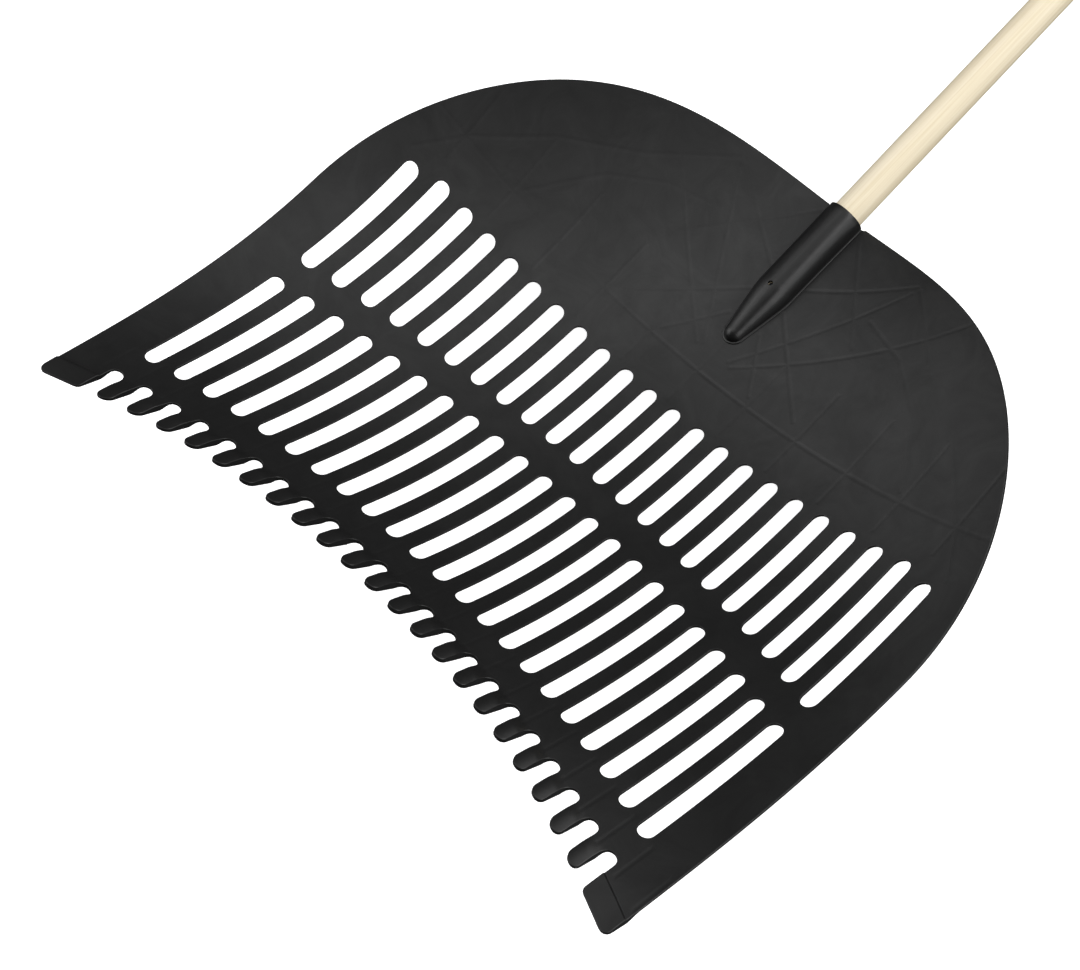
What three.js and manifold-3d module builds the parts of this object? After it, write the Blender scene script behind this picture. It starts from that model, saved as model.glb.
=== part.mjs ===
// Slotted scoop rake for loose hay: a dished, toothed plastic blade on a round wooden handle.
//
// Frame: millimetres, +Z up, X across the blade (which is symmetric about x = 0), +Y along the
// handle from the blade to the butt. The rake lies at rest, with its handle level and the handle
// socket's underside on the floor at z = 0. The origin is the middle of the bounding box's base.
//
// The blade is drawn in its own working frame, in which it sits level on the ground as it is pushed
// along, and is then turned about the socket mouth until the handle is level.

import * as THREE from 'three';
import { mergeVertices } from 'three/addons/utils/BufferGeometryUtils.js';
import Module from 'manifold-3d';

const wasm = await Module();
wasm.setup();

// ---- Driving dimensions (mm, degrees) ----

const PITCH = 28.6;              // spacing of slots, gaps and teeth across the blade
const TEETH_EACH_SIDE = 10;      // teeth at x = 0 and at this many pitches each side
const SLOTS_EACH_SIDE = 11;      // slot columns at half pitches each side
const SLOT_WIDTH = 14.8;
const GAP_WIDTH = 14.6;          // of the gaps between the teeth

const HALF_WIDTH = 347;          // of the rear half ellipse
const REAR_AXIS_Y = 170;         // where the sides end and the rear half ellipse begins
const REAR_LENGTH = 300;         // half ellipse's length from there to the rear edge
const REAR_FLATS = 1.2;          // the outline leaves the ellipse by this, out and in by turns
const REAR_FLAT_TURNS = 5;       // waves of that over half a circle
const SIDE_LEAN = 0.008;         // the sides close in towards the front by this much a millimetre
const SHEET = 2.5;               // thickness of the blade's sheet

// Every row of ends bows forward towards the sides, by this much at BOW_HALF_SPAN from the middle.
const BOW_HALF_SPAN = 300;
const TIP_ROW = { y: -56, bow: 53 };             // tips of the teeth and front of the corner tabs
const GAP_ROW = { y: -25.8, bow: 47.3 };         // inner ends of the gaps between the teeth
const LOWER_FRONT_ROW = { y: 0, bow: 48.5 };
const LOWER_REAR_ROW = { y: 146.5, bow: 53.2 };
const UPPER_FRONT_ROW = { y: 170.8, bow: 54.3 };
const UPPER_REAR_ROW = { y: 263.2, bow: 10.5 };
const LAST_UPPER_SLOT_CUT = 9;                   // the outermost upper slots stop short by this
const TIP_RADIUS = 6.5;                          // corner radius in plan of the teeth
const TAB_RADIUS = 8;                            // of the corner tabs' outer corners
const TAB_INNER_RADIUS = 3.5;                    // and of their inner ones

// The ends of the teeth and tabs are a wedge, thickest at the step across their rear.
const THICK_STRIP = 22.5;        // length of the wedge
const STRIP_RAISED = 1.4;        // how far it stands above the sheet at the step
const MIDDLE_RAISED_MORE = 1.2;  // and how much more at the middle of the blade
const TIP_RAISED = 0.6;          // how far it stands above the sheet's face at the tips
const STRIP_BELOW = 5.2;         // how far it reaches below that face at the step
const TIP_BELOW = 1.4;           // and at the tips

// Ribs under the sheet stiffen it: braces that fan out from the socket, given for the right half
// as [x, y] ends, one rib along the rear row of slots, and short ones at every second bar.
const BRACES = [
  [[20, 402], [100, 447]], [[15, 320], [100, 440]], [[20, 317], [168, 430]],
  [[22, 462], [92, 382]], [[20, 377], [100, 310]], [[18, 352], [52, 307]],
  [[88, 407], [135, 390]], [[135, 390], [180, 357]], [[180, 357], [222, 300]],
  [[105, 445], [165, 391]], [[165, 391], [230, 345]], [[230, 345], [285, 290]],
  [[285, 290], [312, 250]],
];
const CROSS_RIB_ROW = { y: 299, bow: 11 };
const CROSS_RIB_HALF = 308;      // half its length
const SHORT_RIBS_EACH_SIDE = 5;
const SHORT_RIB = { front: 266, frontFall: 1, rear: 345 };   // the fall is for each next rib
const SHORT_RIB_EDGE = { y: 452, fall: 26 };     // rear limit of the ribs near the sides
const RIB_DEPTH = 4;             // below the sheet
const RIB_WIDTH = 2;

// Heights of the blade's upper face in its working frame. Columns are stations from front to rear,
// rows are the middle, the quarter line and the side. The face is the smooth surface through them.
const STATIONS = [-120, 30, 180, 330, 480];
const TEMPLATES = [0, 174, 348];
const HEIGHTS = [
  [60, -9, -19, 22, 82],
  [47, 1, 0, 53, 149],
  [34, 34, 66, 153, 310],
];

const HANDLE_RISE = 24;          // slope of the handle in the blade's working frame
const MOUTH = { y: 468, z: 82 }; // centre of the socket's mouth in that frame

const HANDLE_R = 14;
const HANDLE_LENGTH = 1350;      // whole stick, with the part inside the socket
const HANDLE_BUTT_R = 5;         // rounding of the butt's edge
const BORE_DEPTH = 136;
const SOCKET_R = 17;
const SOCKET_STRAIGHT = 94;      // length next to the mouth that isn't tapered
const SOCKET_LENGTH = 148;
const NOSE_R = 9.4;
const NOSE_WALL = 1.5;           // of the socket, around the tapered end of its bore
const BORE_STRAIGHT = 98;        // length of the bore that isn't tapered
const STICK_STRAIGHT = 97;       // and of the stick inside it
const PIN_R = 1.75;
const PIN_FROM_MOUTH = 89.5;
const PIN_SUNK = 4;              // the pin's head lies this far below the top of the socket
const PIN_LENGTH = 22;
const PIN_HOLE_END = 1;          // the stick's hole goes this much deeper than the pin
const FLANGE = 1.6;              // the socket's foot reaches this far past its tube
const FLANGE_THICKNESS = 1.1;
const FOOT_FROM_MOUTH = 1;       // the foot ends this far short of the mouth

const GAP = 0.3;                 // clearance between touching pieces
const ROUND_SEGMENTS = 24;
const REAR_SEGMENTS = 32;        // facets of the blade's rear edge
const END_SEGMENTS = 4;          // facets on the half-round end of a slot
const CORNER_SEGMENTS = 3;       // on a rounded corner
const PIN_SEGMENTS = 12;
const STRIP_SEGMENTS = 24;       // straight pieces of the step's bowed line

// ---- Solids and booleans ----

function toManifold(geometry) {
  const bare = geometry.index ? geometry.toNonIndexed() : geometry.clone();
  bare.deleteAttribute('normal');
  bare.deleteAttribute('uv');
  const merged = mergeVertices(bare, 1e-4);
  const vertProperties = new Float32Array(merged.attributes.position.array);
  const triVerts = new Uint32Array(merged.index.array);
  return new wasm.Manifold(new wasm.Mesh({ numProp: 3, vertProperties, triVerts }));
}

function toGeometry(manifold) {
  const mesh = manifold.getMesh();
  const geometry = new THREE.BufferGeometry();
  geometry.setAttribute('position', new THREE.BufferAttribute(mesh.vertProperties, 3));
  geometry.setIndex(new THREE.BufferAttribute(mesh.triVerts, 1));
  return geometry;
}

// ---- The blade's upper face ----

// Lagrange weights of the nodes at t: the smooth curve through node values is their weighted sum.
function weights(t, nodes) {
  return nodes.map((own) => nodes.reduce(
    (product, other) => (other === own ? product : (product * (t - other)) / (own - other)), 1));
}

const TEMPLATES_SQUARED = TEMPLATES.map((x) => x * x);

// Height over (x, y): smooth along the stations, and in x squared across the templates.
function height(x, y) {
  const across = weights(x * x, TEMPLATES_SQUARED);
  const along = weights(y, STATIONS);
  return HEIGHTS.reduce((sum, row, i) => sum + across[i] * row.reduce(
    (line, value, j) => line + along[j] * value, 0), 0);
}

// The point over (x, y) of the upper face, moved by offset along the face's normal.
function facePoint(x, y, offset) {
  const slopeX = (height(x + 1, y) - height(x - 1, y)) / 2;
  const slopeY = (height(x, y + 1) - height(x, y - 1)) / 2;
  const normal = new THREE.Vector3(-slopeX, -slopeY, 1).normalize();
  return new THREE.Vector3(x, y, height(x, y)).addScaledVector(normal, offset);
}

// A closed slab that follows the upper face, between two offsets from it that may vary over the
// plan. Its grid lines run at the middle of every second bar between the slots.
function slab(top, bottom, { columns, rows, xStep, yStart, yEnd }) {
  const positions = [];
  const index = [];
  const at = (layer, i, j) => (layer * (rows + 1) + j) * (columns + 1) + i;
  for (const offset of [top, bottom]) {
    for (let j = 0; j <= rows; j += 1) {
      for (let i = 0; i <= columns; i += 1) {
        const x = (i - columns / 2) * xStep;
        const y = yStart + ((yEnd - yStart) * j) / rows;
        positions.push(...facePoint(x, y, offset(x, y)).toArray());
      }
    }
  }
  const quad = (a, b, c, d) => index.push(a, b, c, a, c, d);
  for (let j = 0; j < rows; j += 1) {
    for (let i = 0; i < columns; i += 1) {
      quad(at(0, i, j), at(0, i + 1, j), at(0, i + 1, j + 1), at(0, i, j + 1));
      quad(at(1, i, j), at(1, i, j + 1), at(1, i + 1, j + 1), at(1, i + 1, j));
    }
  }
  for (let i = 0; i < columns; i += 1) {
    quad(at(1, i, 0), at(1, i + 1, 0), at(0, i + 1, 0), at(0, i, 0));
    quad(at(0, i, rows), at(0, i + 1, rows), at(1, i + 1, rows), at(1, i, rows));
  }
  for (let j = 0; j < rows; j += 1) {
    quad(at(0, 0, j), at(0, 0, j + 1), at(1, 0, j + 1), at(1, 0, j));
    quad(at(1, columns, j), at(1, columns, j + 1), at(0, columns, j + 1), at(0, columns, j));
  }
  const geometry = new THREE.BufferGeometry();
  geometry.setAttribute('position', new THREE.Float32BufferAttribute(positions, 3));
  geometry.setIndex(index);
  return toManifold(geometry);
}

// ---- Outlines in plan ----

const rowY = (row, x) => row.y - row.bow * (x / BOW_HALF_SPAN) ** 2;

// A run of points on an arc from one angle to another, in degrees.
function arc(cx, cy, radius, from, to, segments) {
  return Array.from({ length: segments + 1 }, (_, k) => {
    const angle = THREE.MathUtils.degToRad(from + ((to - from) * k) / segments);
    return new THREE.Vector2(cx + radius * Math.cos(angle), cy + radius * Math.sin(angle));
  });
}

const corner = (cx, cy, radius, from, to) => arc(cx, cy, radius, from, to, CORNER_SEGMENTS);

// A slot: straight sides with half-round ends, from y = front to y = rear.
function slotOutline(x, front, rear) {
  const r = SLOT_WIDTH / 2;
  return [
    ...arc(x, front + r, r, 180, 360, END_SEGMENTS),
    ...arc(x, rear - r, r, 0, 180, END_SEGMENTS),
  ];
}

function slotOutlines() {
  const outlines = [];
  for (let column = 0; column < 2 * SLOTS_EACH_SIDE; column += 1) {
    const x = (column - SLOTS_EACH_SIDE + 0.5) * PITCH;
    const last = column === 0 || column === 2 * SLOTS_EACH_SIDE - 1;
    const cut = last ? LAST_UPPER_SLOT_CUT : 0;
    outlines.push(slotOutline(x, rowY(LOWER_FRONT_ROW, x), rowY(LOWER_REAR_ROW, x)));
    outlines.push(slotOutline(x, rowY(UPPER_FRONT_ROW, x), rowY(UPPER_REAR_ROW, x) - cut));
  }
  return outlines;
}

// The blade's outline, from its left front corner anticlockwise: the comb of teeth between the two
// corner tabs, the right side, the rear half ellipse, and the left side.
function bladeOutline() {
  const gapR = GAP_WIDTH / 2;
  const firstGap = (TEETH_EACH_SIDE + 0.5) * PITCH;
  const tabInner = firstGap + gapR;
  const tabSlope = THREE.MathUtils.radToDeg(Math.atan(
    (2 * TIP_ROW.bow * (tabInner + HALF_WIDTH)) / 2 / BOW_HALF_SPAN ** 2));
  const tabOuterY = rowY(TIP_ROW, HALF_WIDTH) + TAB_RADIUS;
  const tabInnerY = rowY(TIP_ROW, tabInner) + TAB_INNER_RADIUS;
  const outerX = HALF_WIDTH + REAR_FLATS + SIDE_LEAN * (tabOuterY - REAR_AXIS_Y) - TAB_RADIUS;
  const innerX = tabInner + TAB_INNER_RADIUS;
  const points = [];
  points.push(...corner(-outerX, tabOuterY, TAB_RADIUS, 180, 270 + tabSlope));
  points.push(...corner(-innerX, tabInnerY, TAB_INNER_RADIUS, 270 + tabSlope, 360));
  for (let k = -TEETH_EACH_SIDE; k <= TEETH_EACH_SIDE + 1; k += 1) {
    const gapX = (k - 0.5) * PITCH;
    points.push(...arc(gapX, rowY(GAP_ROW, gapX) - gapR, gapR, 180, 0, END_SEGMENTS));
    if (k <= TEETH_EACH_SIDE) {
      const left = k * PITCH - (PITCH - GAP_WIDTH) / 2 + TIP_RADIUS;
      const right = k * PITCH + (PITCH - GAP_WIDTH) / 2 - TIP_RADIUS;
      points.push(...corner(left, rowY(TIP_ROW, left) + TIP_RADIUS, TIP_RADIUS, 180, 270));
      points.push(...corner(right, rowY(TIP_ROW, right) + TIP_RADIUS, TIP_RADIUS, 270, 360));
    }
  }
  points.push(...corner(innerX, tabInnerY, TAB_INNER_RADIUS, 180, 270 - tabSlope));
  points.push(...corner(outerX, tabOuterY, TAB_RADIUS, 270 - tabSlope, 360));
  points.push(...rearOutline());
  return points;
}

// The rear half ellipse, moved in and out across itself so that it is a little squarer.
function rearOutline() {
  return Array.from({ length: REAR_SEGMENTS + 1 }, (_, k) => {
    const turn = (Math.PI * k) / REAR_SEGMENTS;
    const across = new THREE.Vector2(Math.cos(turn) / HALF_WIDTH, Math.sin(turn) / REAR_LENGTH);
    const flat = REAR_FLATS * Math.cos(REAR_FLAT_TURNS * Math.min(turn, Math.PI - turn));
    return new THREE.Vector2(
      HALF_WIDTH * Math.cos(turn), REAR_AXIS_Y + REAR_LENGTH * Math.sin(turn),
    ).addScaledVector(across.normalize(), flat);
  });
}

// The front strip in plan, ahead of the step across the teeth and tabs.
function stripOutline() {
  const half = HALF_WIDTH + PITCH;
  const line = Array.from({ length: STRIP_SEGMENTS + 1 }, (_, k) => {
    const x = -half + (2 * half * k) / STRIP_SEGMENTS;
    return new THREE.Vector2(x, rowY(TIP_ROW, x) + THICK_STRIP);
  });
  const front = rowY(TIP_ROW, half) - PITCH;
  return [new THREE.Vector2(half, front), ...line.reverse(), new THREE.Vector2(-half, front)];
}

// A thin straight rib in plan, from one end to the other.
function ribOutline([startX, startY], [endX, endY]) {
  const start = new THREE.Vector2(startX, startY);
  const end = new THREE.Vector2(endX, endY);
  const aside = end.clone().sub(start).normalize().rotateAround(new THREE.Vector2(), Math.PI / 2)
    .multiplyScalar(RIB_WIDTH / 2);
  return [start.clone().sub(aside), end.clone().sub(aside), end.clone().add(aside),
    start.clone().add(aside)];
}

// The rib along the rear row of slots, bowed as that row is.
function crossRibOutline() {
  const steps = 2 * SHORT_RIBS_EACH_SIDE + 2;
  const line = Array.from({ length: steps + 1 }, (_, k) => {
    const x = CROSS_RIB_HALF * ((2 * k) / steps - 1);
    return new THREE.Vector2(x, rowY(CROSS_RIB_ROW, x) - RIB_WIDTH / 2);
  });
  const rear = line.map((point) => new THREE.Vector2(point.x, point.y + RIB_WIDTH)).reverse();
  return [...line, ...rear];
}

// Every rib in plan. The short ribs shorten towards the sides, as the blade does.
function ribOutlines() {
  const outlines = [crossRibOutline()];
  for (const side of [1, -1]) {
    for (const [start, end] of BRACES) {
      const ends = [[side * start[0], start[1]], [side * end[0], end[1]]];
      outlines.push(ribOutline(...(side > 0 ? ends : ends.reverse())));
    }
    for (let k = 1; k <= SHORT_RIBS_EACH_SIDE; k += 1) {
      const x = side * k * 2 * PITCH;
      const rear = Math.min(SHORT_RIB.rear, SHORT_RIB_EDGE.y - SHORT_RIB_EDGE.fall * k);
      outlines.push(ribOutline([x, SHORT_RIB.front - SHORT_RIB.frontFall * k], [x, rear]));
    }
  }
  return outlines;
}

function prism(points, from, to, holes = []) {
  const shape = new THREE.Shape(points);
  shape.holes = holes.map((hole) => new THREE.Path(hole));
  const geometry = new THREE.ExtrudeGeometry(shape, { depth: to - from, bevelEnabled: false });
  geometry.translate(0, 0, from);
  return toManifold(geometry);
}

// ---- The handle's axis ----

// Solids of revolution are drawn about the handle's axis. s is the distance from the socket's
// mouth, towards the butt, and each profile is a list of [s, radius].
function turned(profile, segments = ROUND_SEGMENTS) {
  const geometry = new THREE.LatheGeometry(
    profile.map(([s, r]) => new THREE.Vector2(r, s)), segments);
  return toManifold(geometry);
}

// Where the blade's working frame goes when the handle's axis becomes Y and the mouth the origin.
const LEVEL = new THREE.Matrix4()
  .makeRotationX(THREE.MathUtils.degToRad(-HANDLE_RISE))
  .multiply(new THREE.Matrix4().makeTranslation(0, -MOUTH.y, -MOUTH.z));

const OVERCUT = 1;               // a cutting solid reaches this far past the face it opens
const PAST_MOUTH = 40;

function socketProfile(grow) {
  const noseCentre = -SOCKET_LENGTH + NOSE_R;
  const nose = arc(0, noseCentre, NOSE_R + grow, -90, -10, 5).map((v) => [v.y, Math.max(v.x, 0)]);
  nose[0][1] = 0;
  return [...nose, [-SOCKET_STRAIGHT, SOCKET_R + grow]];
}

function boreProfile() {
  return [[-BORE_DEPTH, 0], [-BORE_DEPTH, NOSE_R - NOSE_WALL],
    [-BORE_STRAIGHT, HANDLE_R + GAP], [OVERCUT, HANDLE_R + GAP], [OVERCUT, 0]];
}

// The hole for the pin, upright through the axis from a height below the socket's top.
function pinHole(bottom) {
  const length = SOCKET_R + OVERCUT - bottom;
  return toManifold(new THREE.CylinderGeometry(PIN_R + GAP, PIN_R + GAP, length, PIN_SEGMENTS)
    .rotateX(Math.PI / 2)
    .translate(0, -PIN_FROM_MOUTH, bottom + length / 2));
}

// ---- The pieces ----

const GRID = { xStep: 2 * PITCH, columns: 14, rows: 16, yStart: -150, yEnd: 490 };
const STRIP_GRID = { xStep: 2 * PITCH, columns: 14, rows: 12, yStart: -150, yEnd: -20 };
const PRISM = [-200, 400];       // heights between which a plan outline cuts the sheet

const layer = (top, bottom) => slab(() => top, () => bottom, GRID);

// How far a place is from the step towards the tips, as a share of the wedge's length.
function wedgeShare(x, y) {
  return THREE.MathUtils.clamp((rowY(TIP_ROW, x) + THICK_STRIP - y) / THICK_STRIP, 0, 1);
}

function wedgeTop(x, y) {
  const middle = MIDDLE_RAISED_MORE * Math.max(0, 1 - (x / BOW_HALF_SPAN) ** 2);
  return THREE.MathUtils.lerp(STRIP_RAISED + middle, TIP_RAISED, wedgeShare(x, y));
}

function wedgeBottom(x, y) {
  return -THREE.MathUtils.lerp(STRIP_BELOW, TIP_BELOW, wedgeShare(x, y));
}

function makeSocketTube() {
  return turned([...socketProfile(0), [0, SOCKET_R], [0, 0]]);
}

// The socket's foot: a rim of the tube's own outline, above and below the sheet it holds.
function makeFoot() {
  const span = turned([...socketProfile(FLANGE), [-FOOT_FROM_MOUTH, SOCKET_R + FLANGE],
    [-FOOT_FROM_MOUTH, 0]]);
  const above = layer(GAP + FLANGE_THICKNESS, GAP).transform(LEVEL.elements);
  const below = layer(-SHEET - GAP, -SHEET - GAP - FLANGE_THICKNESS).transform(LEVEL.elements);
  return above.add(below).intersect(span);
}

function makeSocket() {
  const bore = turned(boreProfile());
  return makeSocketTube().add(makeFoot()).subtract(bore).subtract(pinHole(0));
}

// The socket's outline in the working frame, grown by a clearance and carried past the mouth.
function socketSpace(grow) {
  return turned([...socketProfile(grow), [PAST_MOUTH, SOCKET_R + grow], [PAST_MOUTH, 0]])
    .transform(LEVEL.clone().invert().elements);
}

function makeRibs() {
  const plan = ribOutlines().map((outline) => prism(outline, ...PRISM))
    .reduce((all, rib) => all.add(rib));
  return layer(-SHEET / 2, -SHEET - RIB_DEPTH).intersect(plan)
    .subtract(socketSpace(FLANGE + 2 * GAP));
}

function makeBlade() {
  const sheet = layer(0, -SHEET);
  const wedge = slab(wedgeTop, wedgeBottom, STRIP_GRID)
    .intersect(prism(stripOutline(), ...PRISM));
  const plan = prism(bladeOutline(), ...PRISM, slotOutlines());
  return sheet.add(wedge).add(makeRibs()).intersect(plan).subtract(socketSpace(GAP));
}

function makeHandle() {
  const front = -BORE_DEPTH + GAP;
  const butt = HANDLE_LENGTH - BORE_DEPTH;
  const round = corner(HANDLE_R - HANDLE_BUTT_R, butt - HANDLE_BUTT_R, HANDLE_BUTT_R, 0, 90)
    .map((v) => [v.y, v.x]);
  const stick = turned([[front, 0], [front, NOSE_R - NOSE_WALL - GAP],
    [-STICK_STRAIGHT, HANDLE_R], ...round, [butt, 0]]);
  return stick.subtract(pinHole(SOCKET_R - PIN_SUNK - PIN_LENGTH - PIN_HOLE_END));
}

function makePin() {
  return toManifold(new THREE.CylinderGeometry(PIN_R, PIN_R, PIN_LENGTH, PIN_SEGMENTS)
    .rotateX(Math.PI / 2)
    .translate(0, -PIN_FROM_MOUTH, SOCKET_R - PIN_SUNK - PIN_LENGTH / 2));
}

function material(color, roughness, metalness) {
  return new THREE.MeshStandardMaterial({ color, roughness, metalness });
}

const PIECES = [
  ['blade', makeBlade(), material('#2b2b2b', 0.55, 0), true],
  ['handle_socket', makeSocket(), material('#242424', 0.4, 0), false],
  ['handle', makeHandle(), material('#e4d9c0', 0.7, 0), false],
  ['fixing_pin', makePin(), material('#55585c', 0.4, 0.9), false],
];

const rake = new THREE.Group();
for (const [name, solid, finish, working] of PIECES) {
  const mesh = new THREE.Mesh(toGeometry(solid), finish);
  mesh.name = name;
  if (working) {
    mesh.rotation.x = THREE.MathUtils.degToRad(-HANDLE_RISE);
    mesh.position.set(0, -MOUTH.y, -MOUTH.z).applyEuler(mesh.rotation);
  }
  rake.add(mesh);
}

// Put the origin at the middle of the bounding box's base.
rake.updateMatrixWorld(true);
const box = new THREE.Box3().setFromObject(rake, true);
rake.position.set(0, -(box.min.y + box.max.y) / 2, -box.min.z);

export default rake;
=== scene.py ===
# %% [markdown]
# # A slotted hay rake
# The rake is three things: a dished blade moulded in black plastic, a socket that holds the handle,
# and a wooden stick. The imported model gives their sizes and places, and this script builds each
# one's fine surface around it. Lengths are in millimetres until a mesh is made, where they become
# metres, and the blade is drawn level on the ground before it is turned into the model's own frame.

# %% Load the frame
import math

import bpy
import numpy as np
from mathutils import Matrix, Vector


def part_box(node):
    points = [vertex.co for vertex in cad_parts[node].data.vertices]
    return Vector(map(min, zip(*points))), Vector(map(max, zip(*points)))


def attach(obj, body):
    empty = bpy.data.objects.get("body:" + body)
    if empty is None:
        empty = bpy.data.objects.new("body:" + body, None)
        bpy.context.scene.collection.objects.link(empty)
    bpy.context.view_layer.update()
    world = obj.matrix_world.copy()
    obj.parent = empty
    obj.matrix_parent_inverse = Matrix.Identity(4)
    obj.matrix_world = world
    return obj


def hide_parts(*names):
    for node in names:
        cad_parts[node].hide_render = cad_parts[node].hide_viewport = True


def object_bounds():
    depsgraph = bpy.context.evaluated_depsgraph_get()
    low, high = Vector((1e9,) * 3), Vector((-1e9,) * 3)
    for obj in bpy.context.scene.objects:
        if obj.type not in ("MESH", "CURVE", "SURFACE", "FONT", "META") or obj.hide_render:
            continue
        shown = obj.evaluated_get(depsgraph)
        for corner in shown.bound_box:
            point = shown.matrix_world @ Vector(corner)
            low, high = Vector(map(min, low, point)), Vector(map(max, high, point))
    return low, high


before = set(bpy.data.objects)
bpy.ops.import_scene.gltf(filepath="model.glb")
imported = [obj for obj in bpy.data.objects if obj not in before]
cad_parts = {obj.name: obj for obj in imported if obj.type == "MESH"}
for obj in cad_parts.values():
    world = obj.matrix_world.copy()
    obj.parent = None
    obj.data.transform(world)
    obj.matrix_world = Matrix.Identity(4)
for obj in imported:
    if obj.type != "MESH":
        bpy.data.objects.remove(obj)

MM = 0.001
cad_low, cad_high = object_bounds()
print("CAD box, mm:", [round((b - a) / MM, 1) for a, b in zip(cad_low, cad_high)])

# %% [markdown]
# ## The working frame
# The blade is easiest to describe as it is used, with its belly on the ground and the handle rising
# towards the user. The model lies at rest, with the handle level, so everything drawn in the working
# frame is turned about the socket's mouth. The mouth's place is read from the socket's own box.

# %% From the working frame to the model's
HANDLE_RISE = math.radians(24)
MOUTH_Y, MOUTH_Z = 468, 82
socket_low, socket_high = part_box("handle_socket")
AXIS_Y = socket_high.y / MM
AXIS_Z = (socket_low.z + socket_high.z) / 2 / MM
AXIS_TURN = np.array([
    [1, 0, 0],
    [0, math.cos(HANDLE_RISE), math.sin(HANDLE_RISE)],
    [0, -math.sin(HANDLE_RISE), math.cos(HANDLE_RISE)],
])


def laid_down(points):
    """Working-frame points in the model's frame: turned about the socket's mouth, handle level."""
    moved = (points - [0, MOUTH_Y, MOUTH_Z]) @ AXIS_TURN.T
    return moved + [0, AXIS_Y, AXIS_Z]


print("socket mouth at y", round(AXIS_Y, 1), "z", round(AXIS_Z, 1))

# %% [markdown]
# ## Camera
# A product camera stands a little to the right of the blade, above it and in front, and it is held
# level while the blade is level, so it is placed in the working frame and turned with the blade.

# %% Place the camera
EYE = np.array([872.1, -665.4, 1469.1])
LOOK_AZIMUTH = math.radians(47.9)
LOOK_DOWN = math.radians(51.31)
ROLL = math.radians(-0.76)
LENS = 77.33
SENSOR = 36


def camera_axes(azimuth, down, roll):
    """Right, up and backward unit vectors of a camera that looks along azimuth and downwards."""
    back = np.array([math.sin(azimuth) * math.cos(down), -math.cos(azimuth) * math.cos(down),
                     math.sin(down)])
    level = np.array([math.cos(azimuth), math.sin(azimuth), 0])
    upright = np.cross(back, level)
    right = level * math.cos(roll) - upright * math.sin(roll)
    return np.array([right, np.cross(back, right), back])


camera_data = bpy.data.cameras.new("camera")
camera_data.lens = LENS
camera_data.sensor_width = SENSOR
camera_data.clip_end = 50
camera = bpy.data.objects.new("camera", camera_data)
bpy.context.scene.collection.objects.link(camera)
pose = np.eye(4)
pose[:3, :3] = (camera_axes(LOOK_AZIMUTH, LOOK_DOWN, ROLL) @ AXIS_TURN.T).T
pose[:3, 3] = laid_down(EYE) * MM
camera.matrix_world = Matrix(pose.tolist())
bpy.context.scene.camera = camera
print("camera at", np.round(pose[:3, 3], 3))

# %% [markdown]
# ## The blade's upper face
# A mould maker fixes such a dish by a few templates: here the heights at five stations from front
# to rear, along the middle, the quarter line and the side. The face is the one smooth surface
# through those heights, so it is worked out for a whole array of places at once.

# %% Heights of the dish
STATIONS = np.array([-120.0, 30, 180, 330, 480])
TEMPLATES = np.array([0.0, 174, 348])
HEIGHTS = np.array([
    [60.0, -9, -19, 22, 82],
    [47, 1, 0, 53, 149],
    [34, 34, 66, 153, 310],
])


def lagrange(t, nodes):
    """Weights of each node at t: the product, over the other nodes, of (t - other)/(own - other)."""
    return [np.prod([(t - other) / (own - other) for other in nodes if other != own], axis=0)
            for own in nodes]


def height(x, y):
    """Smooth in y through the stations, and in x squared through the templates."""
    across = lagrange(np.square(x), TEMPLATES ** 2)
    along = lagrange(y, STATIONS)
    return sum(across[i] * along[j] * HEIGHTS[i, j] for i in range(3) for j in range(5))


def face_normal(x, y):
    """Unit normal of the face: minus the two slopes, and one, scaled to length one."""
    slope_x = (height(x + 0.5, y) - height(x - 0.5, y))
    slope_y = (height(x, y + 0.5) - height(x, y - 0.5))
    normal = np.stack([-slope_x, -slope_y, np.ones_like(slope_x)], axis=-1)
    return normal / np.linalg.norm(normal, axis=-1, keepdims=True)


print("belly lies at", round(float(height(np.array(0.0), np.array(150.0))), 1), "mm")

# %% [markdown]
# ## The blade's outline
# Teeth, tabs, gaps and slots are all cut from one sheet, so one function says how far any place is
# from the nearest cut, less than zero inside the plastic. Simple shapes have simple distances, and
# they join by taking the larger or the smaller of two. Slots repeat at one pitch, so folding x back
# into one pitch draws them all.

# %% Driving sizes of the outline
PITCH = 28.6
SLOT_WIDTH = 14.8
GAP_WIDTH = 14.6
SLOT_COLUMNS = 11
HALF_WIDTH = 347
REAR_AXIS_Y = 170
REAR_LENGTH = 300
BOW_HALF_SPAN = 300
SIDE_LEAN = 0.008
REAR_FLATS = 1.2
REAR_FLAT_TURNS = 5
TIP_Y, TIP_BOW = -56, 53
GAP_Y, GAP_BOW = -25.8, 47.3
THICK_STRIP = 22.5
LOWER_SLOTS = (0, 48.5, 146.5, 53.2)
UPPER_SLOTS = (170.8, 54.3, 263.2, 10.5)
LAST_UPPER_CUT = 9
TIP_RADIUS = 6.5
TAB_RADIUS = 8
TAB_INNER_RADIUS = 3.5
SOCKET_R = 17
SOCKET_STRAIGHT = 94
SOCKET_LENGTH = 148
NOSE_R = 9.4
CLEARANCE = 0.3


def bowed(y, bow, x):
    """A row across the blade that bends forward towards the sides as x squared."""
    return y - bow * np.square(x / BOW_HALF_SPAN)


def rounded_corner(a, b, radius):
    """The larger of two distances, with their outer corner rounded to the radius."""
    outer = np.hypot(np.maximum(a + radius, 0), np.maximum(b + radius, 0))
    return np.minimum(np.maximum(a, b) + radius, 0) + outer - radius


def slot_distance(x, y, column, front, rear, width=SLOT_WIDTH):
    """Distance from a long hole's edge: from its middle line, less half its width."""
    half = width / 2
    beyond = np.maximum(np.maximum(front + half - y, y - rear + half), 0)
    return np.hypot(x - column, beyond) - half


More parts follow.
